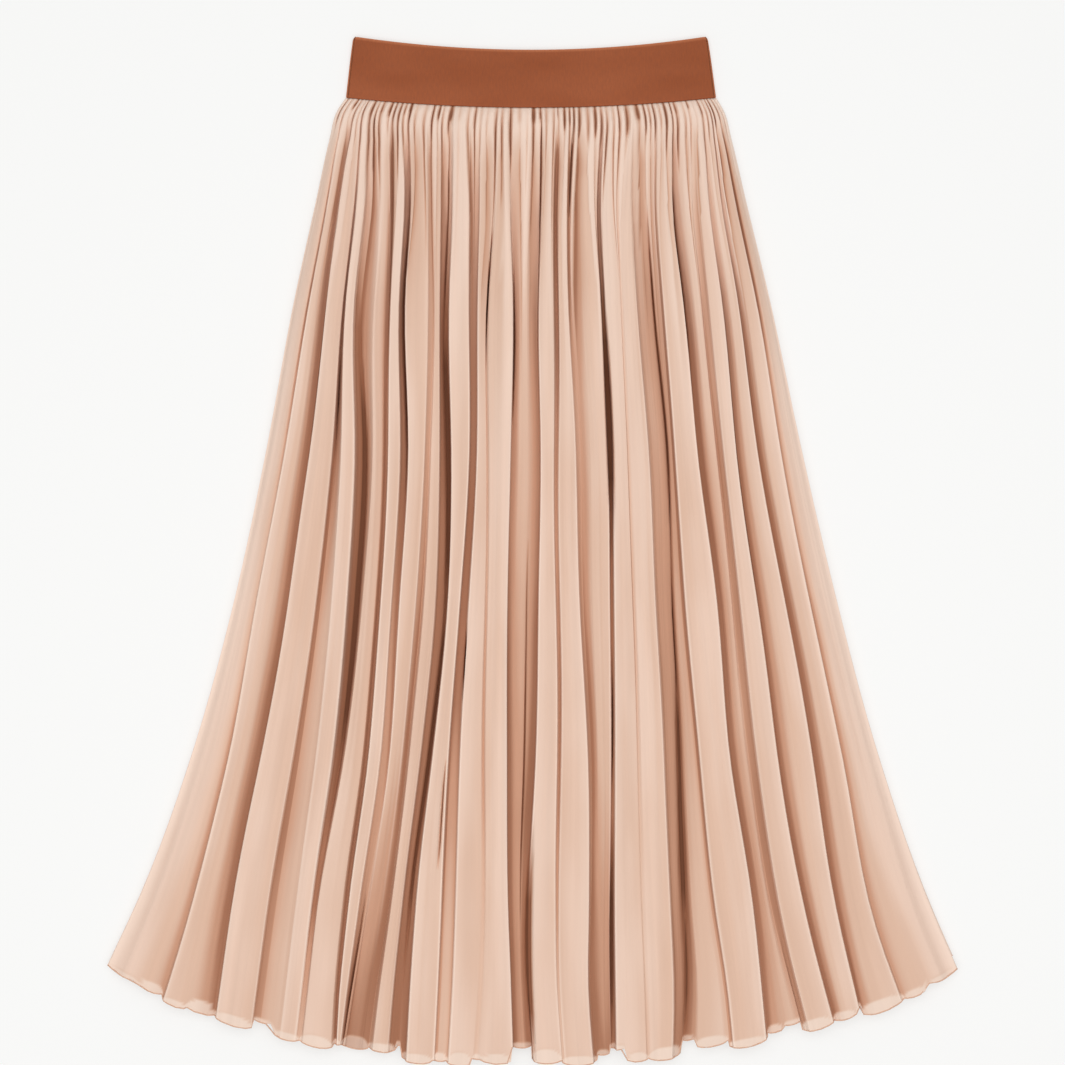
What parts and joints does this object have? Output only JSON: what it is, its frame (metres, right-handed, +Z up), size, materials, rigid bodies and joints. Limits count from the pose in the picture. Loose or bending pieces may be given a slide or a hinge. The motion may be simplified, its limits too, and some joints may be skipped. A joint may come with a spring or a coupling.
{
  "type": "chiffon skirt",
  "caption": "Long gathered chiffon skirt laid flat, with soft fanned folds, a curved hem and a wide plain elastic waistband.",
  "frame": {"origin": "centre of the bounding box at the table surface the skirt lies on", "axes": "+Z up from the table through both panels, +Y from the hem to the waist, +X to the right as seen from above"},
  "size_m": [0.85, 1.0256, 0.0297],
  "materials": {
    "elastic": "matte, very finely brushed knit",
    "chiffon": "matte, sheer in a single layer"
  },
  "bodies": {
    "root": {"waistband": "elastic", "front_panel": "chiffon", "back_panel": "chiffon"}
  },
  "joints": []
}
